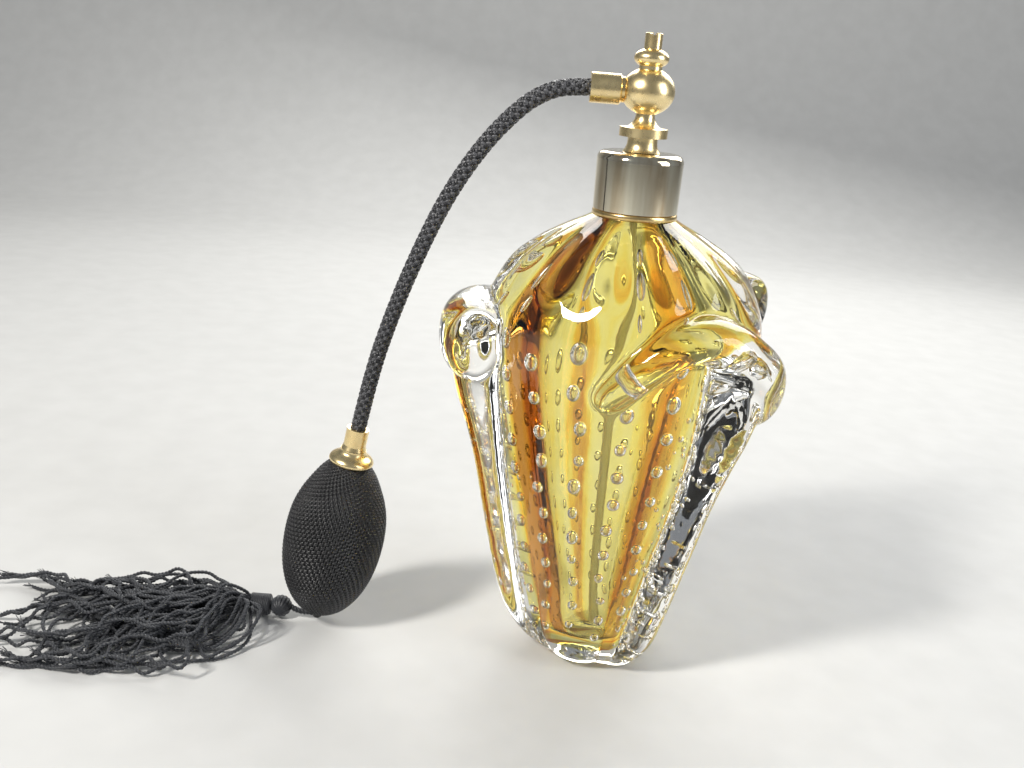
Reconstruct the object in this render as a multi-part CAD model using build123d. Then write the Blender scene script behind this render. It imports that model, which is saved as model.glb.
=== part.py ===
from build123d import *
import math
import os

# Perfume atomiser: a cased art-glass bottle with three drooping hoods, a gilt spray head and a
# squeeze bulb on a braided hose, with a tassel at the bulb's tail. Millimetres, +Z up the bottle's
# axis, origin at the centre of the bottle's flat foot. The hose, bulb and tassel lie towards -X.

# ---------------------------------------------------------------- driving dimensions: bottle
NECK_BASE_Z = 135.2          # where the shoulder ends and the metal ring sits
NECK_TOP_Z = 148.3           # top face of the glass neck
NECK_R = 8.6                 # outside of the glass neck
LAYER_NECK_R = 7.1           # outside of the coloured inner layer in the neck
MOUTH_R = 6.4                # bore of the bottle's mouth
HOOD_COUNT = 3
FIRST_HOOD_ANGLE = -60.0     # degrees about +Z from +X: the hood at the front right
HOOD_TUBE_R = 5.2            # half thickness of a hood's rolled edge
HOOD_CREST = (47.5, 107.0)   # radius and height of the middle of a hood's edge
HOOD_TIP = (43.0, 24.0, 82.0)  # radius, sideways reach and height of a hood's drooping ends

# Outline of the body of revolution, as (radius, height) from the foot to the neck.
BODY_OUTLINE = [
    (17.5, 0.0), (19.8, 2.2), (21.8, 12.0), (24.8, 26.0), (28.6, 44.0), (32.4, 62.0), (36.0, 80.0),
    (38.6, 96.0), (38.6, 106.0), (35.6, 115.0), (29.0, 123.5), (20.5, 130.2), (12.4, NECK_BASE_Z),
]
# Each rib is a stack of ellipses: (height, outer radius, half depth, half width).
RIB_SECTIONS = [
    (0.0, 20.5, 5.5, 8.0), (12.0, 26.0, 6.2, 9.0), (36.0, 33.3, 7.7, 9.5), (62.0, 39.6, 8.7, 10.0),
    (84.0, 45.5, 9.8, 12.0), (98.0, 50.0, 11.3, 19.0), (106.0, 49.0, 10.0, 17.0), (111.0, 45.0, 7.0, 9.0),
]
# Outside of the coloured layer, then the cavity inside it, each up to the start of the neck.
LAYER_OUTLINE = [
    (9.5, 7.0), (11.6, 9.5), (14.0, 25.0), (17.5, 45.0), (20.5, 62.0), (24.0, 85.0), (25.5, 100.0),
    (24.4, 110.0), (19.5, 119.0), (12.5, 127.0), (LAYER_NECK_R, 135.0),
]
CAVITY_OUTLINE = [
    (7.0, 10.0), (8.9, 12.5), (11.4, 26.0), (14.8, 45.0), (17.7, 62.0), (21.2, 85.0), (22.6, 100.0),
    (21.4, 109.0), (16.8, 117.5), (10.4, 125.5), (MOUTH_R, 133.0),
]

# ---------------------------------------------------------------- driving dimensions: neck fittings
RING_BORE_R = 9.2            # the plaster fills the gap between the neck and this bore
RING_SLEEVE_R = 10.3
RING_RIM_R = 11.9
RING_RIM_TOP_Z = NECK_BASE_Z + 2.0
RING_TOP_Z = NECK_TOP_Z + 0.9
RING_LIP_R = 6.6
GASKET_R = 9.8
GASKET_BORE_R = 1.6
GASKET_TOP_Z = RING_TOP_Z + 1.0
COLLAR_GAP = 0.1             # running clearance of the collar on the neck ring
COLLAR_BORE_R = RING_SLEEVE_R + COLLAR_GAP
COLLAR_FOOT_Z = RING_RIM_TOP_Z + COLLAR_GAP
COLLAR_FOOT_R = 11.8
COLLAR_R = 12.0
COLLAR_TOP_Z = 153.1
COLLAR_SHOULDER = 2.2        # radius of the rounded top edge
COLLAR_HOLE_R = 2.7
PLUG_DISC_R = 9.6
PLUG_DISC_TOP_Z = GASKET_TOP_Z + 1.2
PLUG_SHANK_R = 2.4
PLUG_TOP_Z = 160.0
LIQUID_BORE_R = 0.9
DIP_TUBE_R = 1.4
DIP_TUBE_FOOT_Z = 12.0
DIP_TUBE_TOP_Z = 154.5       # pushed up into the plug's shank

# ---------------------------------------------------------------- driving dimensions: spray head
WASHER_FOOT_Z = COLLAR_TOP_Z + 0.1
WASHER_TOP_Z = 156.0
WASHER_FOOT_R = 5.15
WASHER_TOP_R = 4.1
WASHER_BORE_R = 2.6
WASHER_WAIST = (4.4, 1.2)    # radius and height above the foot where the cone turns steeper
PEDESTAL_FOOT_Z = WASHER_TOP_Z + 0.05
FLANGE_FOOT_Z = 157.2
FLANGE_TOP_Z = 159.6
FLANGE_R = 6.6
STEM_TOP_R = 2.6
STEM_WAIST = [(4.2, 0.5), (3.1, 1.7)]   # radii and heights above the flange, up the flare
SPIGOT_DEPTH = 2.6           # how far the stem and the nozzle reach into the ball
BALL_R = 7.3
BALL_HALF_HEIGHT = 6.3
BALL_Z = 169.2
BALL_BORE_R = 1.9
NOZZLE_NECK_R = 3.1
BEAD_R = 4.7
BEAD_HALF_HEIGHT = 2.7
BEAD_Z = 177.8
TIP_R = 2.35
TIP_TOP_Z = 184.3
TIP_SLOT = (1.0, 0.6)        # width and depth of the slot across the tip
TIP_ROUND = 0.4              # radius of the tip's top edge
NOZZLE_BORE_R = 1.3
ORIFICE_R = 0.45
FEED_TUBE_R = 0.85
FEED_TUBE_BORE_R = 0.4
FEED_TUBE_FOOT_Z = 158.0
FEED_TUBE_TOP_Z = 182.6
SEAT_X = -6.4                # spot face on the ball's side where the hose nipple seats
SOCKET_R = 2.5               # threaded hole in the ball's side, and the nipple's thread in it
SOCKET_X = -3.2              # bottom of that hole
FIT_GAP = 0.02               # drawing clearance of a bore over the tube that it grips
END_GAP = 0.05               # drawing clearance at the end of a piece pushed into a bore

# ---------------------------------------------------------------- driving dimensions: hose
HOSE_R = 2.15
LINER_R = 1.45
LINER_BORE_R = 0.85
BARB_R = 0.8
BARB_BORE_R = 0.4
BARB_END_X = -17.0           # how far the nipple's barb reaches into the hose
NIPPLE_LIP_R = 3.45          # lip that fills the gap between the ferrule and the ball
SIDE_FERRULE_R = 4.05
SIDE_FERRULE_X = (-15.6, -7.25)   # mouth and inner end
HOSE_SOCKET_R = HOSE_R + 0.05
BULB_TOP = Vector(-75.0, 0.0, 65.8)          # mouth of the ferrule at the bulb
BULB_AXIS = Vector(-0.170, 0.0, -0.9854).normalized()   # down the bulb, from ferrule to tail
HOSE_SINK = 3.0              # how far the hose goes into the bulb's ferrule
# The hose's route, from inside the side ferrule to inside the bulb's ferrule.
HOSE_ROUTE = [
    (-13.0, 0.0, BALL_Z), (-20.1, 0.0, BALL_Z), (-27.0, 0.0, 167.4), (-34.0, 0.0, 162.6),
    (-43.4, 0.0, 151.9), (-52.4, 0.0, 137.2), (-60.0, 0.0, 119.6), (-66.6, 0.0, 101.2),
    (-72.1, 0.0, 81.8), tuple(BULB_TOP + BULB_AXIS * HOSE_SINK),
]
BEND_SHARE = 0.45            # share of the shorter run that each bend's tangent takes

# ---------------------------------------------------------------- driving dimensions: bulb
# Distances are measured down the bulb's own axis from BULB_TOP.
BULB_FERRULE_R = 3.4
BULB_FERRULE_END = 6.6
BULB_FERRULE_FLARE = (5.4, 0.4)   # where its foot starts to flare, and by how much
BULB_BARB_START = -1.5       # top of the barb inside the hose, above the ferrule's mouth
CAP_TOP = 6.7
CAP_FOOT = 11.2
CAP_CEILING = 10.2           # underside of the cap, where the bulb's neck starts
CAP_RIM_R = 6.75
# Outside of the flared cap from its top to its rolled rim, then the inside of the rim.
CAP_FLARE = [(3.9, CAP_TOP), (4.5, 8.1), (5.9, 9.0), (CAP_RIM_R, 10.2), (6.3, CAP_FOOT)]
CAP_INSIDE = [(5.6, CAP_FOOT), (5.2, CAP_CEILING)]
NIPPLE_R = 2.0
NIPPLE_END = 17.5
COVER_OUTLINE = [
    (4.6, 10.4), (5.2, 11.3), (6.9, 12.7), (9.0, 15.4), (11.2, 19.4), (13.2, 23.8), (14.7, 29.5),
    (15.2, 37.0), (14.5, 45.4), (12.4, 52.7), (9.2, 58.3), (5.6, 61.6), (2.4, 63.2),
]
COVER_THICKNESS = 1.0
BLADDER_WALL = 1.6
BLADDER_GAP = 0.3            # between the rubber and the inside of the cover
BLADDER_LIP = (3.7, 60.4)    # radius and place of the rubber's end round the valve
VALVE_R = 2.4
VALVE_SPAN = (55.6, 61.4)
VALVE_BALL_R = 1.2
VALVE_TRAVEL = 0.6
VALVE_BORE_R = 1.3
VALVE_HOLE_R = 0.6
CAGE_THICKNESS = 0.6
CAGE_HOLES = 4
CAGE_HOLE_R = 0.28
CAGE_HOLE_CIRCLE_R = 0.75
VALVE_END_GAP = 0.05         # gap at each end of the ball's travel
TAIL_KNOT_R = 1.9
TAIL_KNOT_HEIGHT = 3.8
TAIL_KNOT_END = 64.4

# ---------------------------------------------------------------- driving dimensions: tassel
LINK_R = 0.9
LINK_END = (-92.9, 0.0, 3.4) # the tassel lifts about this end of the link
LINK_EYE_LENGTH = 2.4        # length along Y of the link's eye at that end
LINK_GAP = 0.3               # gap between the link and the bulb's tail knot
TASSEL_KNOT = (-97.5, 0.0, 3.9)
TASSEL_KNOT_R = 3.6
BINDING_R = 3.5
BINDING_X = (-107.5, -101.3)
SKIRT_FOOT_Z = 0.3
SKIRT_TOP_Z = 10.0
SKIRT_TOP_SCALE = 0.62
# Outline of the spread cords on the table, as (x, y), from the binding round to it again.
SKIRT_OUTLINE = [
    (-107.7, -4.0), (-112.0, -22.0), (-128.0, -40.0), (-152.0, -44.0), (-176.0, -38.0),
    (-193.0, -16.0), (-194.0, 6.0), (-178.0, 18.0), (-150.0, 21.0), (-124.0, 16.0), (-107.7, 5.0),
]


def turned(outline, curved=None):
    """Solid of revolution about +Z. outline closes the shape; curved is a smooth stretch before it."""
    edges = Curve()
    if curved:
        edges += Spline(*[(r, 0, z) for r, z in curved])
        outline = [curved[-1]] + outline + [curved[0]]
        edges += Polyline(*[(r, 0, z) for r, z in outline])
    else:
        edges += Polyline(*[(r, 0, z) for r, z in outline], close=True)
    return revolve(make_face(edges), Axis.Z)


def rod(radius, low, high):
    """Cylinder about +Z between two heights."""
    return Pos(0, 0, low) * Cylinder(radius, high - low, align=(Align.CENTER, Align.CENTER, Align.MIN))


def side_rod(radius, low_x, high_x):
    """Cylinder along X through the ball's centre, between two x values."""
    return Pos(low_x, 0, BALL_Z) * Rot(0, 90, 0) * rod(radius, 0, high_x - low_x)


def on_bulb(shape):
    """Move a shape made about +Z onto the bulb's axis, with +Z running down to the tail."""
    return Plane(origin=BULB_TOP, x_dir=(0, 1, 0), z_dir=BULB_AXIS).location * shape


def flattened_ball(radius, half_height, centre_z):
    """Ball squashed along Z."""
    half = EllipticalCenterArc((0, 0), radius, half_height, start_angle=-90, arc_size=180)
    face = make_face(Plane.XZ * (half + Line((0, half_height), (0, -half_height))))
    return Pos(0, 0, centre_z) * revolve(face, Axis.Z)


def inset(outline, depth):
    """The same outline, moved towards the axis by depth."""
    return [(r - depth, z) for r, z in outline]


# ---------------------------------------------------------------- bottle
def rib():
    """Blade in the XZ plane: a lobe at the foot that widens into the glass behind a hood's edge."""
    sections = [
        Pos(outer - depth, 0, height) * Ellipse(depth, width)
        for height, outer, depth, width in RIB_SECTIONS
    ]
    return loft(Sketch() + sections)


def hood_edge():
    """Rolled edge that crosses the top of a rib and droops on both sides."""
    tip_r, reach, tip_z = HOOD_TIP
    crest_r, crest_z = HOOD_CREST
    path = ThreePointArc((tip_r, -reach, tip_z), (crest_r, 0, crest_z), (tip_r, reach, tip_z))
    edge = sweep(Plane(origin=path @ 0, z_dir=path % 0) * Circle(HOOD_TUBE_R), path=path)
    for end in (path @ 0, path @ 1):
        edge += Pos(*end) * Sphere(HOOD_TUBE_R)
    return edge


def neck_profile_solid(curved, neck_r, top_z):
    """Turned solid with a smooth side from its floor to the neck, then straight up to top_z."""
    floor_z = curved[0][1]
    return turned([(neck_r, top_z), (0, top_z), (0, floor_z)], curved)


def bottle_glass():
    """Clear casing: body, three ribs with hoods, and the neck, hollowed for the coloured layer."""
    body = turned([(NECK_R, NECK_BASE_Z), (NECK_R, NECK_TOP_Z), (0, NECK_TOP_Z), (0, 0)], BODY_OUTLINE)
    body -= neck_profile_solid(LAYER_OUTLINE, LAYER_NECK_R, NECK_TOP_Z)
    for index in range(HOOD_COUNT):
        angle = FIRST_HOOD_ANGLE + index * 360.0 / HOOD_COUNT
        for piece in (rib(), hood_edge()):
            body += Rot(0, 0, angle) * piece
    return body


def coloured_layer():
    """Inner gather of coloured glass, fused to the casing, with the perfume's cavity in it."""
    layer = neck_profile_solid(LAYER_OUTLINE, LAYER_NECK_R, NECK_TOP_Z)
    return layer - neck_profile_solid(CAVITY_OUTLINE, MOUTH_R, NECK_TOP_Z)


# ---------------------------------------------------------------- neck fittings
def neck_cement():
    return rod(RING_BORE_R, NECK_BASE_Z, NECK_TOP_Z) - rod(NECK_R, NECK_BASE_Z, NECK_TOP_Z)


def neck_ring():
    """Ring cemented on the glass neck: a rim that shows, a sleeve for the collar and a top lip."""
    return turned([
        (RING_BORE_R, NECK_BASE_Z), (RING_RIM_R, NECK_BASE_Z), (RING_RIM_R, RING_RIM_TOP_Z),
        (RING_SLEEVE_R, RING_RIM_TOP_Z), (RING_SLEEVE_R, RING_TOP_Z), (RING_LIP_R, RING_TOP_Z),
        (RING_LIP_R, NECK_TOP_Z), (RING_BORE_R, NECK_TOP_Z),
    ])


def neck_gasket():
    return rod(GASKET_R, RING_TOP_Z, GASKET_TOP_Z) - rod(GASKET_BORE_R, RING_TOP_Z, GASKET_TOP_Z)


def screw_collar():
    """Screw collar: a cup with a rounded top edge and a hole for the stem."""
    ceiling_z = PLUG_DISC_TOP_Z + COLLAR_GAP
    shoulder_z = COLLAR_TOP_Z - COLLAR_SHOULDER
    shoulder_r = COLLAR_R - COLLAR_SHOULDER
    slant = COLLAR_SHOULDER * math.sqrt(0.5)
    edges = Polyline(
        (shoulder_r, 0, COLLAR_TOP_Z), (COLLAR_HOLE_R, 0, COLLAR_TOP_Z), (COLLAR_HOLE_R, 0, ceiling_z),
        (COLLAR_BORE_R, 0, ceiling_z), (COLLAR_BORE_R, 0, COLLAR_FOOT_Z),
        (COLLAR_FOOT_R, 0, COLLAR_FOOT_Z), (COLLAR_R, 0, shoulder_z),
    )
    edges += ThreePointArc(
        (COLLAR_R, 0, shoulder_z), (shoulder_r + slant, 0, shoulder_z + slant),
        (shoulder_r, 0, COLLAR_TOP_Z),
    )
    return revolve(make_face(edges), Axis.Z)


def stem_plug():
    """Plug that the collar pulls onto the gasket: a disc and a screwed shank that holds the dip tube."""
    plug = rod(PLUG_DISC_R, GASKET_TOP_Z, PLUG_DISC_TOP_Z)
    plug += rod(PLUG_SHANK_R, PLUG_DISC_TOP_Z, PLUG_TOP_Z)
    plug -= rod(DIP_TUBE_R, GASKET_TOP_Z, DIP_TUBE_TOP_Z)
    return plug - rod(LIQUID_BORE_R, DIP_TUBE_TOP_Z, PLUG_TOP_Z)


def dip_tube():
    return rod(DIP_TUBE_R, DIP_TUBE_FOOT_Z, DIP_TUBE_TOP_Z) - rod(
        LIQUID_BORE_R, DIP_TUBE_FOOT_Z, DIP_TUBE_TOP_Z)


# ---------------------------------------------------------------- spray head
def cone_washer():
    waist_r, waist_height = WASHER_WAIST
    side = [(WASHER_FOOT_R, WASHER_FOOT_Z), (waist_r, WASHER_FOOT_Z + waist_height),
            (WASHER_TOP_R, WASHER_TOP_Z)]
    return turned([(WASHER_BORE_R, WASHER_TOP_Z), (WASHER_BORE_R, WASHER_FOOT_Z)], side)


def ball_height_at(radius):
    """Height above the ball's centre at which its side has the given radius."""
    return BALL_HALF_HEIGHT * math.sqrt(1 - (radius / BALL_R) ** 2)


def pedestal():
    """Turned stem: boss, flange and a waist that flares up from the flange into the ball."""
    shoulder_z = BALL_Z - ball_height_at(STEM_TOP_R)
    spigot_z = shoulder_z + SPIGOT_DEPTH
    waist = [(FLANGE_R, FLANGE_TOP_Z)]
    waist += [(radius, FLANGE_TOP_Z + height) for radius, height in STEM_WAIST]
    waist += [(STEM_TOP_R, shoulder_z)]
    body = turned([
        (BALL_BORE_R, shoulder_z), (BALL_BORE_R, spigot_z), (0, spigot_z), (0, PEDESTAL_FOOT_Z),
        (WASHER_TOP_R, PEDESTAL_FOOT_Z), (WASHER_TOP_R, FLANGE_FOOT_Z), (FLANGE_R, FLANGE_FOOT_Z),
    ], waist)
    body -= rod(PLUG_SHANK_R, PEDESTAL_FOOT_Z, PLUG_TOP_Z)
    return body - rod(FEED_TUBE_R + FIT_GAP, PLUG_TOP_Z, spigot_z)


def spray_ball():
    """Hollow mixing ball, with flats where the stem, the nozzle and the hose nipple seat."""
    low_z = BALL_Z - ball_height_at(STEM_TOP_R)
    high_z = BALL_Z + ball_height_at(NOZZLE_NECK_R)
    ball = flattened_ball(BALL_R, BALL_HALF_HEIGHT, BALL_Z)
    ball &= Pos(SEAT_X, 0, low_z) * Box(
        BALL_R - SEAT_X, 2 * BALL_R, high_z - low_z, align=(Align.MIN, Align.CENTER, Align.MIN))
    ball -= rod(BALL_BORE_R, low_z, high_z)
    ball -= side_rod(SOCKET_R, SEAT_X, SOCKET_X)
    return ball - side_rod(LIQUID_BORE_R, SOCKET_X, 0)


def spray_nozzle():
    """Nozzle: spigot, neck, flattened bead and a slotted tip with the orifice."""
    seat_z = BALL_Z + ball_height_at(NOZZLE_NECK_R)
    spigot_z = seat_z - SPIGOT_DEPTH
    slot_width, slot_depth = TIP_SLOT
    nozzle = rod(BALL_BORE_R, spigot_z, seat_z) + rod(NOZZLE_NECK_R, seat_z, BEAD_Z)
    nozzle += flattened_ball(BEAD_R, BEAD_HALF_HEIGHT, BEAD_Z)
    nozzle += fillet(rod(TIP_R, BEAD_Z, TIP_TOP_Z).edges().group_by(Axis.Z)[-1], TIP_ROUND)
    nozzle -= rod(NOZZLE_BORE_R, spigot_z, FEED_TUBE_TOP_Z + END_GAP)
    nozzle -= rod(ORIFICE_R, FEED_TUBE_TOP_Z, TIP_TOP_Z)
    return nozzle - Pos(0, 0, TIP_TOP_Z) * Box(slot_width, 4 * TIP_R, 2 * slot_depth)


def feed_tube():
    return rod(FEED_TUBE_R, FEED_TUBE_FOOT_Z, FEED_TUBE_TOP_Z) - rod(
        FEED_TUBE_BORE_R, FEED_TUBE_FOOT_Z, FEED_TUBE_TOP_Z)


def hose_nipple():
    """Nipple screwed into the ball's side: thread, lip and a barb inside the hose."""
    lip_x = SIDE_FERRULE_X[1] + END_GAP
    thread_x = SOCKET_X - END_GAP
    nipple = side_rod(SOCKET_R, SEAT_X, thread_x) + side_rod(NIPPLE_LIP_R, lip_x, SEAT_X)
    nipple += side_rod(BARB_R, BARB_END_X, lip_x)
    return nipple - side_rod(BARB_BORE_R, BARB_END_X, thread_x)


def side_ferrule():
    mouth_x, end_x = SIDE_FERRULE_X
    sleeve = side_rod(SIDE_FERRULE_R, mouth_x, end_x)
    sleeve = chamfer(sleeve.edges().group_by(Axis.X)[-1], 0.4)
    sleeve -= side_rod(HOSE_SOCKET_R, mouth_x, HOSE_ROUTE[0][0] + END_GAP)
    return sleeve - side_rod(BARB_R + FIT_GAP, mouth_x, end_x)


# ---------------------------------------------------------------- hose
def bend_radii(route):
    """Largest arc that each inner point of the route has room for."""
    radii = []
    for before, here, after in zip(route, route[1:], route[2:]):
        run_in = Vector(*here) - Vector(*before)
        run_out = Vector(*after) - Vector(*here)
        half_turn = math.radians(run_in.get_angle(run_out)) / 2
        radii.append(BEND_SHARE * min(run_in.length, run_out.length) / math.tan(half_turn))
    return radii


def hose_tube(outer_r, inner_r):
    """Tube along the hose's route, of straight runs joined by tangent arcs."""
    path = FilletPolyline(*HOSE_ROUTE, radius=bend_radii(HOSE_ROUTE))
    start = Plane(origin=path @ 0, z_dir=path % 0)
    tube = sweep(start * (Circle(outer_r) - Circle(inner_r)), path=path)
    wanted = math.pi * (outer_r ** 2 - inner_r ** 2) * path.length
    print(f"hose length {path.length:.1f} mm, volume / (section x length) {tube.volume / wanted:.4f}")
    return tube


# ---------------------------------------------------------------- bulb
def bulb_ferrule():
    flare_start, flare = BULB_FERRULE_FLARE
    sleeve = turned([
        (0, 0), (BULB_FERRULE_R, 0), (BULB_FERRULE_R, flare_start),
        (BULB_FERRULE_R + flare, BULB_FERRULE_END), (0, BULB_FERRULE_END),
    ])
    sleeve -= rod(HOSE_SOCKET_R, 0, HOSE_SINK + END_GAP)
    return on_bulb(sleeve - rod(BARB_R + FIT_GAP, 0, BULB_FERRULE_END))


def bulb_cap():
    """Flared cap with a rolled rim that closes over the bulb's neck."""
    return on_bulb(turned(CAP_INSIDE + [(NIPPLE_R, CAP_CEILING), (NIPPLE_R, CAP_TOP)], CAP_FLARE))


def bulb_nipple():
    """Nipple from the hose into the bulb's neck."""
    nipple = rod(BARB_R, BULB_BARB_START, CAP_TOP) + rod(NIPPLE_R, CAP_TOP, NIPPLE_END)
    return on_bulb(nipple - rod(BARB_BORE_R, BULB_BARB_START, NIPPLE_END))


def bulb_shell(outer, inner, end_bore_r):
    """Shell between two outlines, open at the neck and with a hole at the tail."""
    skin = turned([(0, outer[-1][1]), (0, outer[0][1])], outer)
    hollow = turned([(0, inner[-1][1]), (0, inner[0][1])], inner)
    return skin - hollow - rod(end_bore_r, inner[-1][1] - 1, outer[-1][1] + 1)


def crochet_cover():
    """Knitted cover over the bulb, gathered at the tail."""
    inner = inset(COVER_OUTLINE[:-1], COVER_THICKNESS)
    neck = COVER_OUTLINE[0][1]
    return on_bulb(bulb_shell(COVER_OUTLINE, inner, VALVE_HOLE_R) - rod(inner[0][0], neck - 1, neck + 0.1))


def rubber_bladder():
    """Rubber bulb: a neck that grips the nipple, a thick-walled belly and a hole for the valve."""
    depth = COVER_THICKNESS + BLADDER_GAP
    outer = inset(COVER_OUTLINE[1:-2], depth) + [BLADDER_LIP]
    inner = inset(COVER_OUTLINE[4:-3], depth + BLADDER_WALL)
    skin = turned([(0, outer[-1][1]), (0, outer[0][1])], outer)
    hollow = turned([(0, inner[-1][1]), (0, inner[0][1])], inner)
    shell = skin - hollow - rod(NIPPLE_R, outer[0][1], inner[0][1] + 1)
    return on_bulb(shell - rod(VALVE_R, inner[-1][1] - 1, outer[-1][1]))


def valve_body():
    """Inlet valve's body: a tube with a chamber for the ball and an air hole towards the tail."""
    start, end = VALVE_SPAN
    chamber_start = start + CAGE_THICKNESS
    chamber_end = chamber_start + 2 * VALVE_BALL_R + VALVE_TRAVEL + 2 * VALVE_END_GAP
    body = rod(VALVE_R, start, end) - rod(VALVE_BORE_R, start, chamber_end)
    return on_bulb(body - rod(VALVE_HOLE_R, chamber_end, end))


def valve_ball():
    seat = VALVE_SPAN[0] + CAGE_THICKNESS + VALVE_BALL_R + VALVE_TRAVEL + VALVE_END_GAP
    return on_bulb(Pos(0, 0, seat) * Sphere(VALVE_BALL_R))


def valve_cage():
    """Perforated disc that keeps the valve's ball in its chamber."""
    start = VALVE_SPAN[0]
    disc = rod(VALVE_BORE_R, start, start + CAGE_THICKNESS)
    for hole in PolarLocations(CAGE_HOLE_CIRCLE_R, CAGE_HOLES):
        disc -= hole * rod(CAGE_HOLE_R, start, start + CAGE_THICKNESS)
    return on_bulb(disc)


def tail_point():
    """Centre of the knot at the bulb's tail."""
    return BULB_TOP + BULB_AXIS * TAIL_KNOT_END


def tail_knot():
    """Knot that draws the cover together at the tail, an upright barrel that the tassel swings round."""
    barrel = Pos(*tail_point()) * Cylinder(TAIL_KNOT_R, TAIL_KNOT_HEIGHT)
    cover_end = COVER_OUTLINE[-1][1]
    return barrel - on_bulb(rod(2 * TAIL_KNOT_R, cover_end - TAIL_KNOT_HEIGHT, cover_end + FIT_GAP))


# ---------------------------------------------------------------- tassel
def tassel_link():
    """Short cord between the bulb's tail and the tassel, with an eye for the tassel to lift about."""
    along = Vector(*LINK_END) - tail_point()
    start = tail_point() + along.normalized() * (TAIL_KNOT_R + LINK_GAP)
    length = along.length - TAIL_KNOT_R - LINK_GAP
    cord = Plane(origin=start, z_dir=along).location * rod(LINK_R, 0, length)
    return cord + Pos(*LINK_END) * Rot(90, 0, 0) * Cylinder(LINK_R, LINK_EYE_LENGTH)


def tassel_knot():
    return Pos(*TASSEL_KNOT) * Sphere(TASSEL_KNOT_R)


def tassel_binding():
    """Bound neck of the tassel, under turns of thread."""
    low_x, high_x = BINDING_X
    place = Pos(low_x, 0, TASSEL_KNOT[2]) * Rot(0, 90, 0)
    return place * rod(BINDING_R, 0, high_x - low_x)


def tassel_skirt():
    """Space that the spread cords of the tassel fill on the table."""
    middle = Vector(sum(x for x, _ in SKIRT_OUTLINE), sum(y for _, y in SKIRT_OUTLINE), 0)
    middle = middle / len(SKIRT_OUTLINE)
    foot = Polyline(*SKIRT_OUTLINE, close=True)
    top = Polyline(*[
        (middle.X + (x - middle.X) * SKIRT_TOP_SCALE, middle.Y + (y - middle.Y) * SKIRT_TOP_SCALE)
        for x, y in SKIRT_OUTLINE
    ], close=True)
    foot_face = Pos(0, 0, SKIRT_FOOT_Z) * make_face(foot)
    top_face = Pos(0, 0, SKIRT_TOP_Z) * make_face(top)
    return loft(Sketch() + [foot_face, top_face], ruled=True)


NODES = {
    "bottle_glass": bottle_glass,
    "coloured_layer": coloured_layer,
    "neck_cement": neck_cement,
    "neck_ring": neck_ring,
    "neck_gasket": neck_gasket,
    "screw_collar": screw_collar,
    "stem_plug": stem_plug,
    "dip_tube": dip_tube,
    "cone_washer": cone_washer,
    "pedestal": pedestal,
    "spray_ball": spray_ball,
    "spray_nozzle": spray_nozzle,
    "feed_tube": feed_tube,
    "hose_nipple": hose_nipple,
    "side_ferrule": side_ferrule,
    "hose_braid": lambda: hose_tube(HOSE_R, LINER_R),
    "hose_liner": lambda: hose_tube(LINER_R, LINER_BORE_R),
    "bulb_ferrule": bulb_ferrule,
    "bulb_cap": bulb_cap,
    "bulb_nipple": bulb_nipple,
    "crochet_cover": crochet_cover,
    "rubber_bladder": rubber_bladder,
    "valve_body": valve_body,
    "valve_ball": valve_ball,
    "valve_cage": valve_cage,
    "tail_knot": tail_knot,
    "tassel_link": tassel_link,
    "tassel_knot": tassel_knot,
    "tassel_binding": tassel_binding,
    "tassel_skirt": tassel_skirt,
}

os.makedirs("parts", exist_ok=True)
print("hose bend radii, mm:", " ".join(f"{radius:.1f}" for radius in bend_radii(HOSE_ROUTE)))
for name, make in NODES.items():
    export_step(make(), f"parts/{name}.step")
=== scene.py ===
import math
import random

import bpy
import numpy as np
from mathutils import Matrix


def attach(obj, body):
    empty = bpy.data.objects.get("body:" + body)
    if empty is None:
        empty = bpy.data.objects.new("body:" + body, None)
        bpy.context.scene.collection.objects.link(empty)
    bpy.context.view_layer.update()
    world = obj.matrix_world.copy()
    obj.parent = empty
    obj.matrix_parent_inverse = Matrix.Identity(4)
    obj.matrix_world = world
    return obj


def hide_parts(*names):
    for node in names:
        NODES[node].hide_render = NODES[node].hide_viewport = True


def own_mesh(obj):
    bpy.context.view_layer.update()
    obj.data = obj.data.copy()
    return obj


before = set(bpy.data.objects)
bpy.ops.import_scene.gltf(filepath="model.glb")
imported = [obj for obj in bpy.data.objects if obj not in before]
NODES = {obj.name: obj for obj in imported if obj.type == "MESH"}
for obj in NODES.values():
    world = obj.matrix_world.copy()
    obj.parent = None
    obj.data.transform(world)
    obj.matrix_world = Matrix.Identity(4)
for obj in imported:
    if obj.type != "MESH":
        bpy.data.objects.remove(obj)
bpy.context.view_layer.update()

# The looks of the perfume atomiser. Shapes are worked out in millimetres in the CAD frame and
# turned into metres by piece(). The bottle is sculpted from swept and turned shapes that are
# melted together; the braid, the crochet cover and the tassel are built strand by strand.

MM = 0.001

# ---------------------------------------------------------------- camera
CAMERA_AT = (-0.0302, -0.2949, 0.1765)
CAMERA_DOWN = math.radians(17.49)
CAMERA_ROLL = math.radians(4.65)
CAMERA_LENS = 36.91


def make_camera():
    data = bpy.data.cameras.new("camera")
    data.lens = CAMERA_LENS
    data.clip_start = 0.01
    camera = bpy.data.objects.new("camera", data)
    bpy.context.scene.collection.objects.link(camera)
    aim = Matrix.Rotation(math.pi / 2 - CAMERA_DOWN, 4, "X") @ Matrix.Rotation(CAMERA_ROLL, 4, "Z")
    camera.matrix_world = Matrix.Translation(CAMERA_AT) @ aim
    bpy.context.scene.camera = camera


make_camera()

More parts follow.
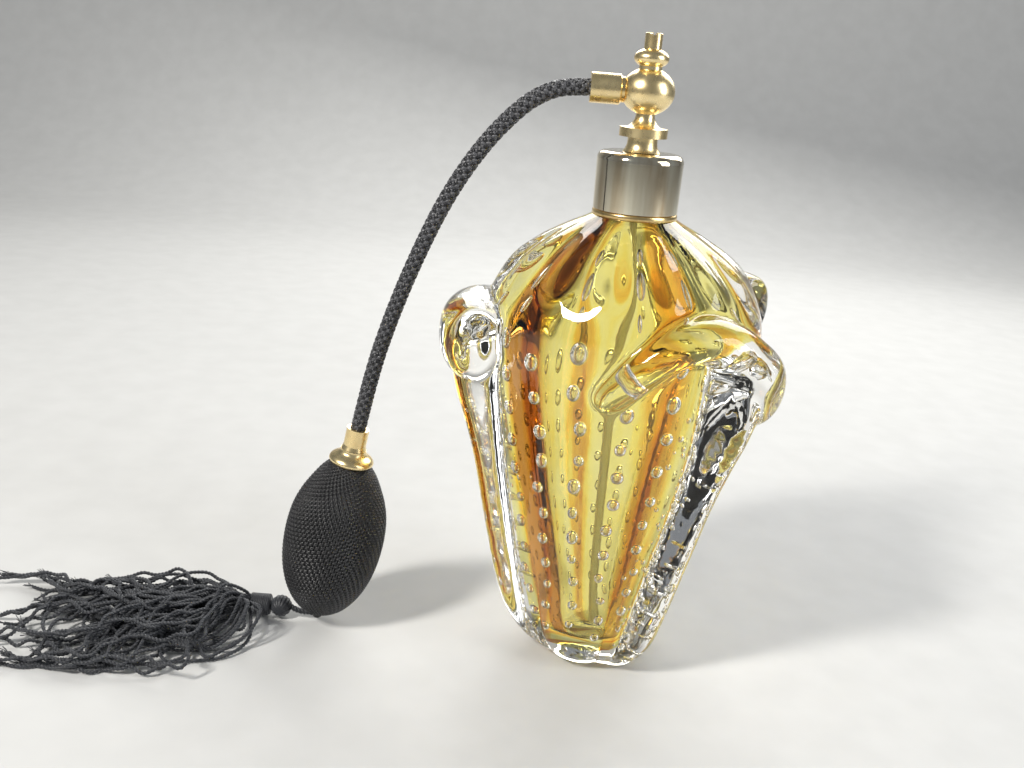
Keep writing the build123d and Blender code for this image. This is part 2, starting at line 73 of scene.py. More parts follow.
# ---------------------------------------------------------------- mesh tools
def piece(name, verts, faces, material, body=None):
    """Mesh object from vertices in millimetres, riding on a CAD body."""
    mesh = bpy.data.meshes.new(name)
    mesh.from_pydata((np.asarray(verts, float) * MM).tolist(), [], faces)
    mesh.materials.append(material)
    mesh.polygons.foreach_set("use_smooth", [True] * len(mesh.polygons))
    mesh.update()
    made = bpy.data.objects.new(name, mesh)
    bpy.context.scene.collection.objects.link(made)
    if body:
        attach(made, body)
    return made


def joined(parts):
    """One vertex array and face list from several (vertices, faces) pairs."""
    verts, faces, start = [], [], 0
    for part_verts, part_faces in parts:
        verts.append(part_verts)
        faces.extend([tuple(start + i for i in face) for face in part_faces])
        start += len(part_verts)
    return np.vstack(verts), faces


def frames_along(points, first_side=(0.0, 1.0, 0.0)):
    """Tangents and two normals along a line, carried from point to point without twist."""
    points = np.asarray(points, float)
    tangents = np.gradient(points, axis=0)
    tangents /= np.linalg.norm(tangents, axis=1)[:, None]
    side = np.asarray(first_side, float)
    sides = np.empty_like(points)
    for i, tangent in enumerate(tangents):
        side = side - tangent * side.dot(tangent)
        side = side / np.linalg.norm(side)
        sides[i] = side
    return tangents, sides, np.cross(tangents, sides)


def skin_faces(rings, sides):
    """Faces between rings of vertices stacked one after another, with a cap on each end."""
    faces = []
    for i in range(rings - 1):
        low, high = i * sides, (i + 1) * sides
        for j in range(sides):
            k = (j + 1) % sides
            faces.append((low + j, low + k, high + k, high + j))
    faces.append(tuple(range(sides - 1, -1, -1)))
    faces.append(tuple(range((rings - 1) * sides, rings * sides)))
    return faces


def tube(points, width, height, sides=8, first_side=(0.0, 1.0, 0.0)):
    """Tube with half width and half height, single or one per point, measured along two normals."""
    points = np.asarray(points, float)
    count = len(points)
    _, across, up = frames_along(points, first_side)
    width = np.broadcast_to(width, count)
    height = np.broadcast_to(height, count)
    angle = np.linspace(0, 2 * np.pi, sides, endpoint=False)
    ring = (across[:, None, :] * (np.cos(angle)[None, :, None] * width[:, None, None])
            + up[:, None, :] * (np.sin(angle)[None, :, None] * height[:, None, None]))
    verts = (points[:, None, :] + ring).reshape(-1, 3)
    return verts, skin_faces(count, sides)


def smooth_line(points, count):
    """Evenly numbered points on a smooth line through a few points."""
    points = np.asarray(points, float)
    padded = np.vstack([2 * points[0] - points[1], points, 2 * points[-1] - points[-2]])
    at = np.linspace(0, len(points) - 1, count)
    index = np.minimum(at.astype(int), len(points) - 2)
    t = (at - index)[:, None]
    a, b, c, d = (padded[index + k] for k in range(4))
    return 0.5 * (2 * b + (c - a) * t + (2 * a - 5 * b + 4 * c - d) * t ** 2
                  + (3 * b - a - 3 * c + d) * t ** 3)


def turned(outline, segments=96):
    """Closed surface of revolution about Z from (radius, height) points that start and end at r = 0."""
    outline = np.asarray(outline, float)
    angle = np.linspace(0, 2 * np.pi, segments, endpoint=False)
    inner = outline[1:-1]
    rings = np.stack([
        inner[:, None, 0] * np.cos(angle), inner[:, None, 0] * np.sin(angle),
        np.broadcast_to(inner[:, None, 1], (len(inner), segments))], axis=2).reshape(-1, 3)
    verts = np.vstack([rings, [[0, 0, outline[0][1]], [0, 0, outline[-1][1]]]])
    first, last = len(rings), len(rings) + 1
    faces = []
    for j in range(segments):
        k = (j + 1) % segments
        faces.append((first, k, j))
        faces.append((last, (len(inner) - 1) * segments + j, (len(inner) - 1) * segments + k))
        for i in range(len(inner) - 1):
            faces.append((i * segments + j, i * segments + k, (i + 1) * segments + k,
                          (i + 1) * segments + j))
    return verts, faces


def spun(verts, degrees):
    """Vertices turned about the bottle's axis."""
    turn = math.radians(degrees)
    x, y, z = np.asarray(verts, float).T
    return np.stack([x * math.cos(turn) - y * math.sin(turn),
                     x * math.sin(turn) + y * math.cos(turn), z], axis=1)


def ball(centre, radii, rings=9, segments=14, axis=(0.0, 0.0, 1.0)):
    """Ellipsoid with its third radius along an axis."""
    polar = np.linspace(0, np.pi, rings + 1)
    outline = np.stack([np.sin(polar), -np.cos(polar)], axis=1)
    verts, faces = turned(outline, segments)
    axis = np.asarray(axis, float) / np.linalg.norm(axis)
    helper = np.array([1.0, 0, 0]) if abs(axis[0]) < 0.8 else np.array([0, 1.0, 0])
    side = np.cross(helper, axis)
    side /= np.linalg.norm(side)
    basis = np.stack([side, np.cross(axis, side), axis])
    return (verts * np.asarray(radii)) @ basis + np.asarray(centre), faces


# ---------------------------------------------------------------- materials
def new_material(name):
    """Empty principled material; returns the material, its shader and a function that adds nodes."""
    material = bpy.data.materials.new(name)
    material.use_nodes = True
    tree = material.node_tree
    shader = tree.nodes["Principled BSDF"]

    def add(kind, inputs=None, **settings):
        node = tree.nodes.new("ShaderNode" + kind)
        for key, value in settings.items():
            setattr(node, key, value)
        for key, value in (inputs or {}).items():
            if isinstance(value, bpy.types.NodeSocket):
                tree.links.new(value, node.inputs[key])
            else:
                node.inputs[key].default_value = value
        return node

    return material, shader, add


def link(material, source, target):
    material.node_tree.links.new(source, target)


def add_ramp(add, factor, stops):
    """Colour ramp with (position, colour) stops."""
    ramp = add("ValToRGB", {"Fac": factor})
    elements = ramp.color_ramp.elements
    while len(elements) < len(stops):
        elements.new(0.5)
    for element, (position, colour) in zip(elements, stops):
        element.position = position
        element.color = (*colour, 1.0)
    return ramp.outputs["Color"]


def metal(name, colour, worn, roughness, grain, grain_scale, drift_scale=(160, 160, 160)):
    """Gilt metal: a little colour drift, fine turning or satin grain, and rougher worn patches."""
    material, shader, add = new_material(name)
    place = add("TexCoord").outputs["Object"]
    patch_place = add("Mapping", {"Vector": place, "Scale": drift_scale}).outputs["Vector"]
    drift = add("TexNoise", {"Vector": patch_place, "Scale": 1.0, "Detail": 3.0}).outputs["Fac"]
    link(material, add_ramp(add, drift, [(0.35, colour), (0.7, worn)]), shader.inputs["Base Color"])
    patches = add("TexNoise", {"Vector": place, "Scale": 420.0, "Detail": 4.0}).outputs["Fac"]
    spread = add("MapRange", {"Value": patches, "To Min": roughness * 0.7, "To Max": roughness * 1.5})
    link(material, spread.outputs["Result"], shader.inputs["Roughness"])
    stretch = add("Mapping", {"Vector": place, "Scale": grain_scale}).outputs["Vector"]
    lines = add("TexNoise", {"Vector": stretch, "Scale": 1.0, "Detail": 2.0}).outputs["Fac"]
    bump = add("Bump", {"Height": lines, "Strength": grain, "Distance": 0.00004})
    link(material, bump.outputs["Normal"], shader.inputs["Normal"])
    shader.inputs["Metallic"].default_value = 1.0
    return material


def yarn(name, dark, light, scale, sheen, roughness=0.5):
    """Spun yarn: two close shades in fine fibres, a soft sheen and a fibre bump."""
    material, shader, add = new_material(name)
    place = add("TexCoord").outputs["Object"]
    fibre = add("TexNoise", {"Vector": place, "Scale": scale, "Detail": 5.0, "Roughness": 0.7})
    link(material, add_ramp(add, fibre.outputs["Fac"], [(0.35, dark), (0.72, light)]),
         shader.inputs["Base Color"])
    bump = add("Bump", {"Height": fibre.outputs["Fac"], "Strength": 0.5, "Distance": 0.00008})
    link(material, bump.outputs["Normal"], shader.inputs["Normal"])
    shader.inputs["Roughness"].default_value = roughness
    shader.inputs["Sheen Weight"].default_value = sheen
    shader.inputs["Sheen Roughness"].default_value = 0.35
    shader.inputs["Sheen Tint"].default_value = (0.75, 0.78, 0.85, 1.0)
    return material


def plain_detail(name, colour, second, roughness, scale, bump_strength, **sockets):
    """Rubber, plaster or plastic with a mottled colour and a fine bump."""
    material, shader, add = new_material(name)
    place = add("TexCoord").outputs["Object"]
    mottle = add("TexNoise", {"Vector": place, "Scale": scale, "Detail": 4.0}).outputs["Fac"]
    link(material, add_ramp(add, mottle, [(0.3, colour), (0.75, second)]), shader.inputs["Base Color"])
    bump = add("Bump", {"Height": mottle, "Strength": bump_strength, "Distance": 0.0001})
    link(material, bump.outputs["Normal"], shader.inputs["Normal"])
    shader.inputs["Roughness"].default_value = roughness
    for socket, value in sockets.items():
        shader.inputs[socket.replace("_", " ")].default_value = value
    return material


def clear_glass(name, tint, ripple):
    """Hand-made glass with a slow surface ripple."""
    material, shader, add = new_material(name)
    place = add("TexCoord").outputs["Object"]
    wave = add("TexNoise", {"Vector": place, "Scale": 70.0, "Detail": 1.0}).outputs["Fac"]
    bump = add("Bump", {"Height": wave, "Strength": ripple, "Distance": 0.0006})
    link(material, bump.outputs["Normal"], shader.inputs["Normal"])
    shader.inputs["Base Color"].default_value = (*tint, 1.0)
    shader.inputs["Roughness"].default_value = 0.0
    shader.inputs["IOR"].default_value = 1.5
    shader.inputs["Transmission Weight"].default_value = 1.0
    return material


STREAKS = 4.0                # dark streaks round the bottle
STREAK_PHASE = -1.745        # puts one of them beside the front hood's rib
AMBER_PATCH = math.radians(-153.0)


def amber_tint(name):
    """Colour of the inner layer: lemon, gold and amber streaks that run up the bottle.

    The layer is fused to the casing, so light isn't bent where they meet and only takes colour."""
    material, shader, add = new_material(name)
    place = add("TexCoord").outputs["Object"]
    split = add("SeparateXYZ", {"Vector": place})
    angle = add("Math", {0: split.outputs["Y"], 1: split.outputs["X"]}, operation="ARCTAN2").outputs[0]
    cosine = add("Math", {0: angle}, operation="COSINE").outputs[0]
    sine = add("Math", {0: angle}, operation="SINE").outputs[0]
    round_place = add("CombineXYZ", {"X": cosine, "Y": sine, "Z": split.outputs["Z"]})
    stretched = add("Mapping", {"Vector": round_place.outputs[0], "Scale": (1.0, 1.0, 7.0)})
    broad = add("TexNoise", {"Vector": stretched.outputs[0], "Scale": 2.2, "Detail": 2.0})
    fine = add("TexNoise", {"Vector": stretched.outputs[0], "Scale": 9.0, "Detail": 4.0,
                            "Distortion": 0.4})
    turned_angle = add("Math", {0: angle, 1: STREAKS, 2: STREAK_PHASE},
                       operation="MULTIPLY_ADD").outputs[0]
    streak = add("Math", {0: turned_angle}, operation="COSINE").outputs[0]
    weight = add("MapRange", {"Value": streak, "From Min": 0.25, "From Max": 1.0,
                              "To Min": 0.0, "To Max": 0.36}).outputs["Result"]
    # A broad brown-amber patch beside the left hood's rib.
    from_patch = add("Math", {0: angle, 1: AMBER_PATCH}, operation="SUBTRACT").outputs[0]
    patch = add("Math", {0: from_patch}, operation="COSINE").outputs[0]
    patch_weight = add("MapRange", {"Value": patch, "From Min": 0.90, "From Max": 1.0,
                                    "To Min": 0.0, "To Max": 0.20}).outputs["Result"]
    dark = add("Math", {0: weight, 1: patch_weight}, operation="ADD").outputs[0]
    mixed = add("Math", {0: broad.outputs["Fac"], 1: 0.42, 2: dark}, operation="MULTIPLY_ADD")
    total = add("Math", {0: fine.outputs["Fac"], 1: 0.42, 2: mixed.outputs[0]},
                operation="MULTIPLY_ADD").outputs[0]
    colour = add_ramp(add, total, [
        (0.36, (0.90, 0.86, 0.40)), (0.50, (0.91, 0.82, 0.24)), (0.60, (0.92, 0.70, 0.08)),
        (0.70, (0.86, 0.38, 0.02)), (0.84, (0.42, 0.10, 0.01)),
    ])
    link(material, colour, shader.inputs["Base Color"])
    shader.inputs["Roughness"].default_value = 0.0
    shader.inputs["IOR"].default_value = 1.0
    shader.inputs["Transmission Weight"].default_value = 1.0
    return material


SATIN_GILT = metal("satin_gilt", (0.93, 0.76, 0.42), (0.86, 0.66, 0.33), 0.25, 0.25, (900, 900, 900))
POLISHED_GILT = metal("polished_gilt", (0.95, 0.90, 0.72), (0.52, 0.40, 0.25), 0.08, 0.10,
                      (2400, 2400, 60), (210, 210, 18))
GILT_BRASS = metal("gilt_brass", (0.88, 0.68, 0.33), (0.70, 0.50, 0.22), 0.22, 0.25, (500, 500, 5000))
VALVE_STEEL = metal("valve_steel", (0.60, 0.60, 0.62), (0.50, 0.50, 0.52), 0.2, 0.1, (900, 900, 900))
BRAID_YARN = yarn("black_braid", (0.003, 0.003, 0.004), (0.016, 0.016, 0.019), 3000.0, 0.08, 0.38)
# Lighter grey copy of the black braid yarn: a painted glint, standing in for the highlights on the
# strands wound one way.
BRAID_PAINTED_GLINT = yarn("black_braid_painted_glint", (0.030, 0.030, 0.033), (0.150, 0.150, 0.160), 3000.0, 0.3, 0.34)
KNIT_YARN = yarn("black_knit", (0.003, 0.003, 0.004), (0.034, 0.033, 0.034), 2600.0, 0.12, 0.34)
TASSEL_YARN = yarn("tassel_yarn", (0.008, 0.009, 0.011), (0.050, 0.053, 0.062), 2600.0, 0.30, 0.5)
HOSE_RUBBER = plain_detail("hose_rubber", (0.03, 0.025, 0.02), (0.05, 0.045, 0.04), 0.6, 600.0, 0.2)
GASKET_RUBBER = plain_detail("gasket_rubber", (0.02, 0.02, 0.02), (0.04, 0.04, 0.04), 0.7, 900.0, 0.3)
PLASTER = plain_detail("plaster", (0.80, 0.78, 0.72), (0.66, 0.63, 0.56), 0.9, 900.0, 0.6)
TUBE_PLASTIC = plain_detail("tube_plastic", (0.90, 0.90, 0.86), (0.84, 0.84, 0.78), 0.25, 300.0, 0.05,
                            Transmission_Weight=0.75, IOR=1.45)
CLEAR_GLASS = clear_glass("clear_glass", (1.0, 0.995, 0.97), 0.12)
CAVITY_GLASS = clear_glass("cavity_glass", (0.98, 0.95, 0.80), 0.25)
AMBER_TINT = amber_tint("amber_glass")

NODE_MATERIALS = {
    "neck_cement": PLASTER,
    "neck_gasket": GASKET_RUBBER,
    "screw_collar": POLISHED_GILT,
    "stem_plug": GILT_BRASS,
    "dip_tube": TUBE_PLASTIC,
    "cone_washer": SATIN_GILT,
    "pedestal": SATIN_GILT,
    "spray_ball": SATIN_GILT,
    "spray_nozzle": SATIN_GILT,
    "feed_tube": GILT_BRASS,
    "hose_nipple": GILT_BRASS,
    "side_ferrule": SATIN_GILT,
    "bulb_ferrule": SATIN_GILT,
    "bulb_cap": SATIN_GILT,
    "bulb_nipple": GILT_BRASS,
    "valve_body": GILT_BRASS,
    "valve_ball": VALVE_STEEL,
    "valve_cage": GILT_BRASS,
}
for node_name, node_material in NODE_MATERIALS.items():
    NODES[node_name].data.materials.clear()
    NODES[node_name].data.materials.append(node_material)

# ---------------------------------------------------------------- hose
BALL_Z = 169.2
BULB_TOP = np.array([-75.0, 0.0, 65.8])
BULB_AXIS = np.array([-0.170, 0.0, -0.9854]) / math.hypot(0.170, 0.9854)
HOSE_SINK = 3.0
# The hose's route, from inside the side ferrule to inside the bulb's ferrule.
HOSE_ROUTE = [
    (-13.0, 0.0, BALL_Z), (-20.1, 0.0, BALL_Z), (-27.0, 0.0, 167.4), (-34.0, 0.0, 162.6),
    (-43.4, 0.0, 151.9), (-52.4, 0.0, 137.2), (-60.0, 0.0, 119.6), (-66.6, 0.0, 101.2),
    (-72.1, 0.0, 81.8), tuple(BULB_TOP + BULB_AXIS * HOSE_SINK),
]
BRAID_STRANDS = 9            # strands wound each way
BRAID_PITCH = 11.0           # length of one turn of a strand
BRAID_R = 2.05
BRAID_LIFT = 0.18            # how far a strand rises and dips where strands cross


def route_points(route):
    """Points in millimetres on the smooth NURBS line of a route."""
    data = bpy.data.curves.new("route", "CURVE")
    data.dimensions = "3D"
    data.resolution_u = 16
    spline = data.splines.new("NURBS")
    spline.points.add(len(route) - 1)
    for point, place in zip(spline.points, route):
        point.co = (*(value * MM for value in place), 1.0)
    spline.order_u = 3
    spline.use_endpoint_u = True
    helper = bpy.data.objects.new("route", data)
    mesh = bpy.data.meshes.new_from_object(helper)
    points = np.array([vertex.co for vertex in mesh.vertices]) / MM
    bpy.data.objects.remove(helper)
    bpy.data.curves.remove(data)
    bpy.data.meshes.remove(mesh)
    return points


def even_points(points, step):
    """Points at even distances along a line."""
    runs = np.linalg.norm(np.diff(points, axis=0), axis=1)
    reach = np.concatenate([[0], np.cumsum(runs)])
    at = np.linspace(0, reach[-1], int(reach[-1] / step) + 1)
    return np.stack([np.interp(at, reach, points[:, k]) for k in range(3)], axis=1), at


def make_hose():
    line = route_points(HOSE_ROUTE)
    centre, at = even_points(line, 0.16)
    _, side, up = frames_along(centre)
    parts = [tube(centre[::4], BRAID_R - 0.3, BRAID_R - 0.3, 20)]
    painted_glint_from = 0
    for way in (-1, 1):
        if way == 1:
            painted_glint_from = sum(len(part_faces) for _, part_faces in parts)
        for strand in range(BRAID_STRANDS):
            turn = way * 2 * np.pi * at / BRAID_PITCH + 2 * np.pi * strand / BRAID_STRANDS
            crossing = 2 * np.pi * at / BRAID_PITCH * BRAID_STRANDS + np.pi * strand
            radius = BRAID_R - 0.05 + way * BRAID_LIFT * np.sin(crossing + np.pi / 2)
            spot = (centre + side * (radius * np.cos(turn))[:, None]
                    + up * (radius * np.sin(turn))[:, None])
            parts.append(flat_strand(spot, centre, 0.52, 0.20))
    verts, faces = joined(parts)
    hose = piece("braided_hose", verts, faces, BRAID_YARN, "spray_head")
    # The strands wound the second way get the lighter copy of the yarn: painted glint colour in place of
    # their highlights.
    hose.data.materials.append(BRAID_PAINTED_GLINT)
    for polygon in hose.data.polygons[painted_glint_from:]:
        polygon.material_index = 1
    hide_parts("hose_braid", "hose_liner")


def flat_strand(spot, centre, half_width, half_height):
    """Strand with an oval section that keeps its flat side towards the centre line."""
    out = spot - centre
    out /= np.linalg.norm(out, axis=1)[:, None]
    along = np.gradient(spot, axis=0)
    along /= np.linalg.norm(along, axis=1)[:, None]
    across = np.cross(along, out)
    across /= np.linalg.norm(across, axis=1)[:, None]
    sides = 6
    angle = np.linspace(0, 2 * np.pi, sides, endpoint=False)
    ring = (across[:, None, :] * (np.cos(angle) * half_width)[None, :, None]
            + out[:, None, :] * (np.sin(angle) * half_height)[None, :, None])
    verts = (spot[:, None, :] + ring).reshape(-1, 3)
    return verts, skin_faces(len(spot), sides)


make_hose()

# ---------------------------------------------------------------- bottle
BODY_OUTLINE = np.array([
    (12.0, 0.0), (16.8, 2.6), (19.8, 7.0), (21.8, 12.5), (24.9, 26.0), (28.7, 44.0), (32.5, 62.0),
    (36.2, 80.0), (39.0, 95.0), (39.9, 104.0), (39.0, 111.5), (35.4, 118.2), (29.6, 124.8),
    (21.0, 130.6), (12.4, 135.2),
])
LAYER_OUTLINE = np.array([
    (9.5, 7.0), (11.6, 9.5), (14.0, 25.0), (17.5, 45.0), (20.5, 62.0), (24.0, 85.0), (25.5, 100.0),
    (24.4, 110.0), (19.5, 119.0), (12.5, 127.0), (7.1, 135.0),
])
# Ribs under the hoods: (height, outer radius, half depth, half width).
RIB_SECTIONS = [
    (0.3, 15.6, 5.0, 4.0), (4.0, 20.4, 6.0, 5.6), (12.0, 26.4, 6.8, 6.2), (24.0, 30.6, 7.4, 5.8),
    (36.0, 33.8, 8.0, 5.6),
    (49.0, 37.0, 8.4, 5.4), (62.0, 40.2, 9.0, 5.4), (74.0, 44.0, 9.6, 6.0), (84.0, 47.5, 10.4, 7.2),
    (94.0, 49.5, 11.4, 9.0), (103.0, 48.5, 11.0, 10.0), (110.0, 45.0, 8.0, 7.0),
]
RIB_LEAN = (9.0, 17.0)       # degrees past the hood's middle, at the foot and at the top
# A hood is one roll of glass, thin where it lies on the body and ending in a hollow lobe:
# (degrees from its middle, outer radius, height above the lobe's middle, half thickness, half depth).
HOOD_ROLL = [
    (-37.5, 42.4, -3.0, 2.2, 3.6), (-34.0, 44.0, 0.0, 4.3, 5.4), (-26.0, 45.4, 6.0, 5.0, 6.2),
    (-17.0, 46.6, 11.2, 5.2, 7.0), (-8.0, 47.8, 14.4, 5.4, 7.8), (2.0, 49.2, 15.2, 6.0, 8.4),
    (11.0, 51.0, 12.4, 7.6, 8.6), (18.0, 52.4, 7.6, 9.6, 8.8), (24.0, 53.0, 3.4, 10.8, 8.8),
    (28.5, 52.4, 1.2, 10.8, 8.0), (31.8, 50.8, 0.2, 9.0, 6.4), (33.6, 48.8, 0.0, 5.4, 4.0),
]
LOBE_HOLLOW = (34.5, 45.5)             # degrees and radius of the hollow in a lobe's end
LOBE_HOLLOW_SIZE = (3.6, 6.4, 3.6)     # its radial and upright reach, and its depth
# Each hood: (degrees round the bottle, side of the lobe, added radius, lobe's height, share of rise).
HOODS = [(-63.0, 1, -1.6, 94.5, 1.04), (56.0, -1, 0.0, 106.0, 0.45), (177.0, 1, 1.6, 99.5, 0.42)]
VOXEL = 0.85
SHOULDER_RIDGES = 14
FOOT_LOBES = 7
FOOT_HOLLOW = 1.4            # depth of the ground hollow under the foot
FOOT_HOLLOW_R = 13.0
NECK_R = 8.6
NECK_TOP_Z = 148.3


def rib(side, rings=40, segments=40):
    """Blade of stacked ovals that leans round the body towards its top."""
    table = smooth_line(RIB_SECTIONS, rings)
    angle = np.linspace(0, 2 * np.pi, segments, endpoint=False)
    foot_turn, top_turn = RIB_LEAN
    verts = []
    for height, outer, depth, width in table:
        oval = np.stack([outer - depth + depth * np.cos(angle), width * np.sin(angle),
                         np.full(segments, height)], axis=1)
        turn = foot_turn + (top_turn - foot_turn) * height / RIB_SECTIONS[-1][0]
        verts.append(spun(oval, side * turn))
    return np.vstack(verts), skin_faces(rings, segments)


def hood_roll(side, more_radius, lobe_height, rise, steps=70, segments=32):
    """Roll of glass across a hood, as upright-and-radial ovals strung round the body."""
    degrees, outer, climb, thick, depth = smooth_line(HOOD_ROLL, steps).T
    if side < 0:
        degrees = -degrees[::-1]
        outer, climb, thick, depth = (column[::-1] for column in (outer, climb, thick, depth))
    angle = np.radians(degrees)
    middle_r = outer + more_radius - depth
    height = lobe_height + rise * climb
    out = np.stack([np.cos(angle), np.sin(angle), np.zeros(steps)], axis=1)
    centre = out * middle_r[:, None] + np.stack([np.zeros(steps), np.zeros(steps), height], axis=1)
    along = np.gradient(centre, axis=0)
    along /= np.linalg.norm(along, axis=1)[:, None]
    up = np.cross(out, along)
    up /= np.linalg.norm(up, axis=1)[:, None]
    turn = np.linspace(0, 2 * np.pi, segments, endpoint=False)
    ring = (out[:, None, :] * (np.cos(turn)[None, :] * depth[:, None])[:, :, None]
            + up[:, None, :] * (np.sin(turn)[None, :] * thick[:, None])[:, :, None])
    verts = (centre[:, None, :] + ring).reshape(-1, 3)
    return verts, skin_faces(steps, segments)


def melt(parts, voxel, rounds):
    """Join closed shapes into one skin and round off where they meet."""
    verts, faces = joined(parts)
    rough = piece("melt", verts, faces, CLEAR_GLASS)
    remesh = rough.modifiers.new("remesh", "REMESH")
    remesh.mode = "VOXEL"
    remesh.voxel_size = voxel * MM
    soften = rough.modifiers.new("soften", "SMOOTH")
    soften.factor = 0.6
    soften.iterations = rounds
    depsgraph = bpy.context.evaluated_depsgraph_get()
    mesh = bpy.data.meshes.new_from_object(rough.evaluated_get(depsgraph))
    bpy.data.objects.remove(rough)
    verts = np.array([vertex.co for vertex in mesh.vertices]) / MM
    faces = [tuple(polygon.vertices) for polygon in mesh.polygons]
    bpy.data.meshes.remove(mesh)
    return verts, faces


def tooled(verts):
    """Marks of the maker's tools: ridges on the shoulder, lobes at the foot, and a flat foot."""
    x, y, z = verts.T
    radius = np.hypot(x, y)
    angle = np.arctan2(y, x)
    on_shoulder = np.exp(-((z - 124.0) / 8.0) ** 2) * np.clip((radius - 11) / 6, 0, 1)
    ridges = 1.0 * on_shoulder * np.cos(SHOULDER_RIDGES * angle + 0.05 * z)
    near_foot = np.clip(1 - z / 34.0, 0, 1) * np.clip((radius - 8) / 8, 0, 1)
    lobe = np.abs(np.cos(0.5 * FOOT_LOBES * angle + 0.4))
    lobes = 1.9 * near_foot * (lobe ** 0.6 - 0.75)
    sway = 0.5 * np.sin(2 * angle + z / 23.0) * np.clip(z / 20, 0, 1) * np.clip((130 - z) / 20, 0, 1)
    shift = (ridges + lobes + sway) / np.maximum(radius, 1e-6)
    hollow = FOOT_HOLLOW * np.clip(1 - (radius / FOOT_HOLLOW_R) ** 2, 0, 1) * (z < 3.0)
    shaped = np.stack([x * (1 + shift), y * (1 + shift), np.maximum(z, 0.0) + hollow], axis=1)
    for hood_angle, side, more_radius, lobe_height, _ in HOODS:
        shaped = with_lobe_hollow(shaped, hood_angle, side, more_radius, lobe_height)
    return shaped


def with_lobe_hollow(verts, hood_angle, side, more_radius, lobe_height):
    """Press the hollow into the end of a hood's lobe, square to the end."""
    degrees, middle_r = LOBE_HOLLOW
    reach_out, reach_up, depth = LOBE_HOLLOW_SIZE
    turn = math.radians(hood_angle + side * degrees)
    out = np.array([math.cos(turn), math.sin(turn), 0.0])
    along = side * np.array([-math.sin(turn), math.cos(turn), 0.0])
    offset = verts - (out * (middle_r + more_radius) + np.array([0.0, 0.0, lobe_height]))
    near = np.exp(-(offset @ out / reach_out) ** 2 - (offset[:, 2] / reach_up) ** 2
                  - (np.minimum(offset @ along + 2.0, 0.0) / 4.0) ** 2)
    near *= np.abs(offset @ along) < 12.0
    return verts - along * (depth * near)[:, None]


def outline_radius(outline, height):
    """Radius of a turned outline at a height."""
    return np.interp(height, outline[:, 1], outline[:, 0])


def bubble_places(rng):
    """Centres, radii and axes of the trapped bubbles, in staggered columns that fan up the body."""
    bubbles = []
    columns = 16
    for column in range(columns):
        height = 13.0 + (3.2 if column % 2 else 0.0)
        base_angle = 360.0 / columns * column
        while height < 104.0:
            grow = height / 104.0
            size = (1.05 + 1.05 * grow) * rng.uniform(0.82, 1.12)
            inner = outline_radius(LAYER_OUTLINE, height)
            outer = outline_radius(BODY_OUTLINE, height)
            radius = inner + (outer - inner) * rng.uniform(0.34, 0.5)
            angle = math.radians(base_angle + rng.uniform(-2.2, 2.2))
            spot = (radius * math.cos(angle), radius * math.sin(angle), height)
            bubbles.append((spot, (size, size, size * rng.uniform(1.05, 1.45)), (0.1, 0.1, 1.0)))
            if rng.random() < 0.05:
                angle += 1.5 * size / radius
                spot = (radius * math.cos(angle), radius * math.sin(angle), height - 0.4 * size)
                bubbles.append((spot, (size * 0.9, size * 0.9, size), (0.1, 0.1, 1.0)))
            height += 6.6 + 4.0 * grow + rng.uniform(-0.7, 0.7)
    # Long bubbles drawn out over the shoulder.
    for index in range(SHOULDER_RIDGES):
        angle = 2 * math.pi * (index + 0.5) / SHOULDER_RIDGES + rng.uniform(-0.06, 0.06)
        for height, length in ((111.0, 2.6), (119.0, 4.6), (126.5, 3.0)):
            height += rng.uniform(-1.5, 1.5)
            radius = 0.5 * (outline_radius(LAYER_OUTLINE, height) + outline_radius(BODY_OUTLINE, height))
            out = (math.cos(angle), math.sin(angle))
            width = 0.3 * length * rng.uniform(0.8, 1.2)
            bubbles.append(((radius * out[0], radius * out[1], height), (width, width, length),
                            (-out[0], -out[1], 0.75)))
    # Crowds of small bubbles beside each rib, densest at the front right.
    for (hood_angle, side, *_), count in zip(HOODS, (130, 50, 60)):
        for _ in range(count):
            height = 5.0 + 85.0 * rng.random() ** 1.5
            inner = outline_radius(LAYER_OUTLINE, max(height, 8.0))
            outer = outline_radius(BODY_OUTLINE, height)
            radius = inner + (outer - inner) * rng.uniform(0.3, 0.85)
            angle = math.radians(hood_angle + side * (14.0 + rng.gauss(0, 9)))
            size = rng.uniform(0.35, 0.85)
            spot = (radius * math.cos(angle), radius * math.sin(angle), height)
            bubbles.append((spot, (size, size, size * 1.15), (0, 0, 1.0)))
    return bubbles


def apart(bubbles):
    """The bubbles that don't touch one kept before them."""
    kept, centres, reaches = [], np.empty((0, 3)), np.empty(0)
    for centre, radii, axis in bubbles:
        gaps = np.linalg.norm(centres - np.array(centre), axis=1) - reaches
        if len(gaps) == 0 or gaps.min() > max(radii):
            kept.append((centre, radii, axis))
            centres = np.vstack([centres, centre])
            reaches = np.append(reaches, max(radii))
    return kept


def bubble_shells():
    """Bubble surfaces, facing into the air that they hold."""
    rng = random.Random(7)
    parts = []
    for centre, radii, axis in apart(bubble_places(rng)):
        verts, faces = ball(centre, radii, rings=8, segments=12, axis=axis)
        parts.append((verts, [face[::-1] for face in faces]))
    return joined(parts)


def make_casing():
    outline = smooth_line(BODY_OUTLINE, 90)
    outline = np.vstack([[(0, 0)], outline, [(11.2, 136.2), (NECK_R, 136.4), (NECK_R, NECK_TOP_Z),
                                             (0, NECK_TOP_Z)]])
    parts = [turned(outline, 128)]
    for angle, side, more_radius, lobe_height, rise in HOODS:
        for verts, faces in (rib(side), hood_roll(side, more_radius, lobe_height, rise)):
            parts.append((spun(verts, angle), faces))
    verts, faces = melt(parts, VOXEL, 10)
    casing = piece("glass_casing", *joined([(tooled(verts), faces), bubble_shells()]), CLEAR_GLASS,
                   "bottle")
    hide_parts("bottle_glass")


